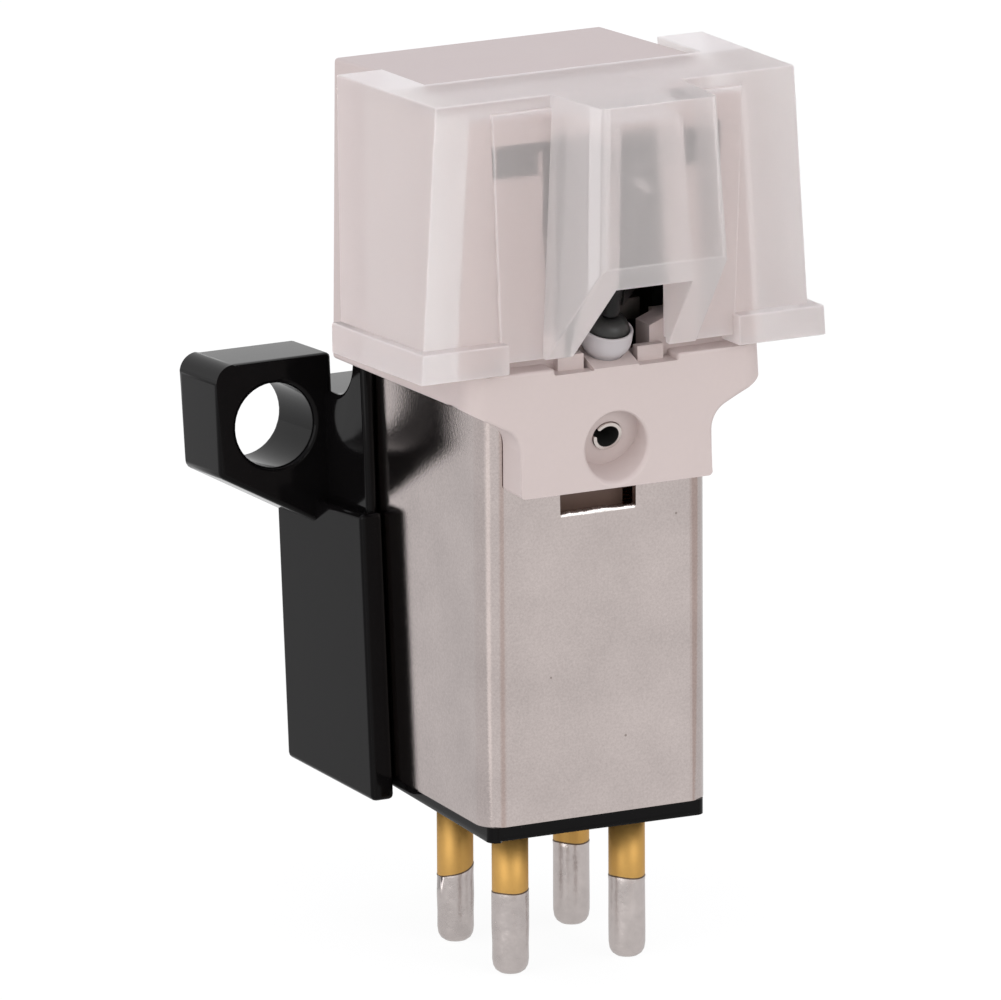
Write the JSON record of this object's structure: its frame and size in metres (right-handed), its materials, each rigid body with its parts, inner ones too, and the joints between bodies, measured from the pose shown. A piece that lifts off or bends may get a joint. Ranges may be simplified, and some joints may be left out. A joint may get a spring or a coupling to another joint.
{
  "type": "turntable stylus cartridge",
  "caption": "Turntable stylus cartridge with a metal shield can, black mounting bracket, off-white stylus holder, clear guard and gold terminal pins.",
  "frame": {"origin": "middle of the two mounting holes, on the mounting face", "axes": "+X to the right seen from the front, +Y towards the mounting side, +Z from the pins towards the stylus"},
  "size_m": [0.0168, 0.0191, 0.0306],
  "materials": {
    "nickel_sheet": "satin",
    "black_plastic": "gloss",
    "dark_plastic": "matt",
    "white_plastic": "satin",
    "clear_plastic": "clear",
    "gold_plate": "polished",
    "copper_wire": "enamelled",
    "yoke_metal": "satin",
    "rubber": "matt",
    "carbon_tube": "satin",
    "magnet_metal": "satin",
    "tube_metal": "bright",
    "diamond": "polished"
  },
  "bodies": {
    "cartridge_body": {"shield_can": "nickel_sheet", "terminal_plate": "dark_plastic", "core_block": "dark_plastic", "pole_nose": "dark_plastic", "mounting_bracket": "black_plastic", "yoke_left": "yoke_metal", "bobbin_left": "dark_plastic", "coil_left": "copper_wire", "pin_front_left": "gold_plate", "lead_front_left": "copper_wire", "pin_rear_left": "gold_plate", "lead_rear_left": "copper_wire", "yoke_right": "yoke_metal", "bobbin_right": "dark_plastic", "coil_right": "copper_wire", "pin_front_right": "gold_plate", "lead_front_right": "copper_wire", "pin_rear_right": "gold_plate", "lead_rear_right": "copper_wire"},
    "stylus_unit": {"stylus_holder": "white_plastic", "anchor_tube": "tube_metal", "suspension_collar": "white_plastic", "tension_wire": "tube_metal"},
    "stylus_seat": {"damper": "rubber"},
    "stylus_arm": {"cantilever": "carbon_tube", "stylus_tip": "diamond", "magnet_left": "magnet_metal", "magnet_right": "magnet_metal"},
    "guard": {"stylus_guard": "clear_plastic"}
  },
  "joints": [
    {"name": "stylus_pull", "type": "slide", "parent": "cartridge_body", "child": "stylus_unit", "axis": [0, 0, 1], "range_m": [0, 0.009]},
    {"name": "guard_pull", "type": "slide", "parent": "stylus_unit", "child": "guard", "axis": [0, 0, 1], "range_m": [0, 0.0095]},
    {"name": "stylus_sway", "type": "hinge", "parent": "stylus_unit", "child": "stylus_seat", "pos_m": [0, -0.01454, 0.00514], "axis": [0, 0.9511, 0.309], "range_deg": [-2.5, 2.5], "stiffness_Nm_per_rad": 0.005},
    {"name": "stylus_lift", "type": "hinge", "parent": "stylus_seat", "child": "stylus_arm", "pos_m": [0, -0.01454, 0.00514], "axis": [1, 0, 0], "range_deg": [-2.5, 2], "stiffness_Nm_per_rad": 0.005}
  ]
}
